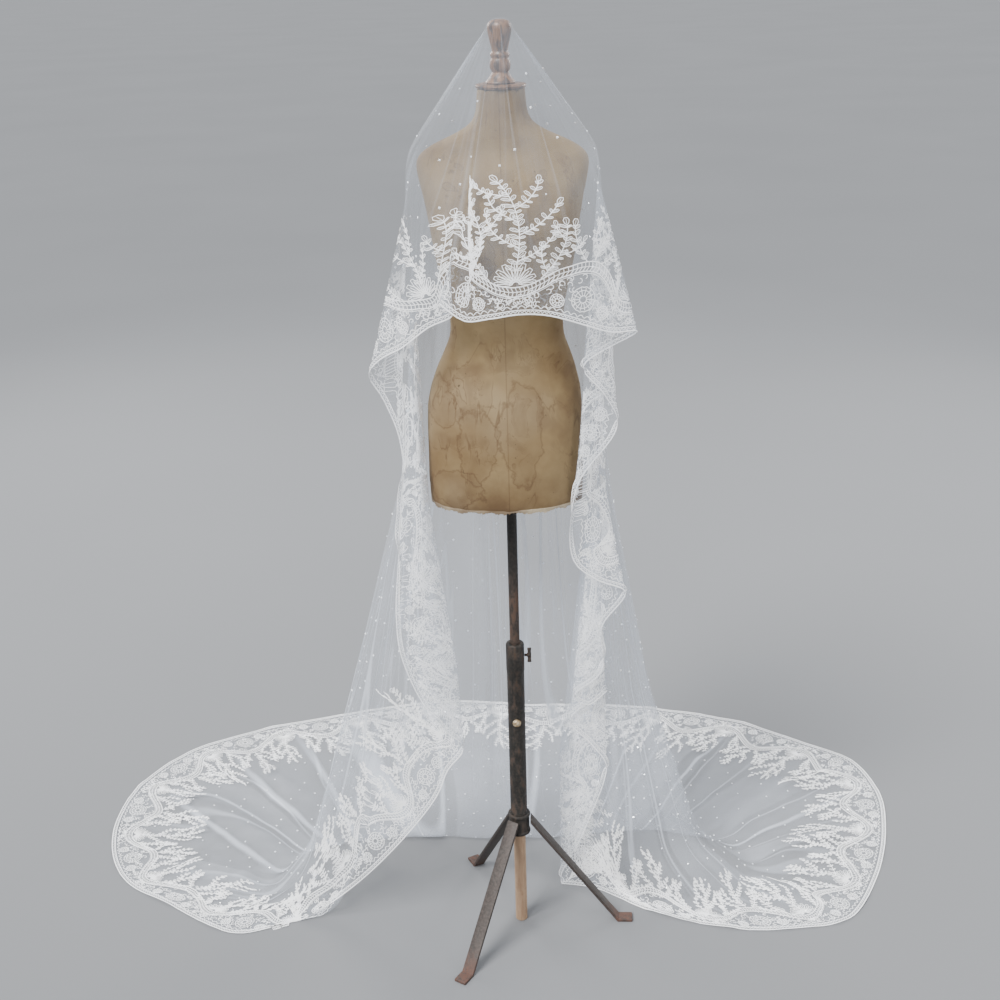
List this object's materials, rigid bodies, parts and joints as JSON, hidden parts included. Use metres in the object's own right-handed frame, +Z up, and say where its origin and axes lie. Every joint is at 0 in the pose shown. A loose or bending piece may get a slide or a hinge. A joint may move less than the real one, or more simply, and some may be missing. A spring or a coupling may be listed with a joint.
{
  "type": "bridal veil on a dress form",
  "caption": "Long tulle bridal veil with an embroidered border, draped from the finial of a limbless canvas dress form on an iron tripod stand.",
  "frame": {"origin": "foot of the stand's wooden dowel, on the floor under the form's axis", "axes": "+Z up, -Y to the front where the veil opens, +X to the viewer's right"},
  "size_m": [1.867, 1.1285, 1.8398],
  "materials": {
    "veil_net": "sheer white tulle with white embroidery",
    "form_canvas": "aged stained linen canvas",
    "finial_wood": "worn dark stained turned wood",
    "dowel_wood": "bare pale wood",
    "stand_iron": "dark iron with rust",
    "boss_brass": "dull brass"
  },
  "bodies": {
    "root": {"veil_crown": "veil_net", "veil_front": "veil_net", "veil_right_upper": "veil_net", "veil_right_middle": "veil_net", "veil_right_lower": "veil_net", "veil_right_turn": "veil_net", "veil_right_fall": "veil_net", "veil_right_train": "veil_net", "veil_back_right_fall": "veil_net", "veil_back_right_train": "veil_net", "veil_back_left_fall": "veil_net", "veil_back_left_train": "veil_net", "veil_left_fall": "veil_net", "veil_left_train": "veil_net", "veil_left_turn": "veil_net", "veil_left_flap": "veil_net", "form_torso": "form_canvas", "neck_disc": "finial_wood", "finial": "finial_wood", "pole": "stand_iron", "sleeve": "stand_iron", "hub": "stand_iron", "leg_right": "stand_iron", "leg_rear": "stand_iron", "leg_front": "stand_iron", "thumb_screw": "stand_iron", "boss": "boss_brass", "dowel": "dowel_wood"}
  },
  "joints": []
}
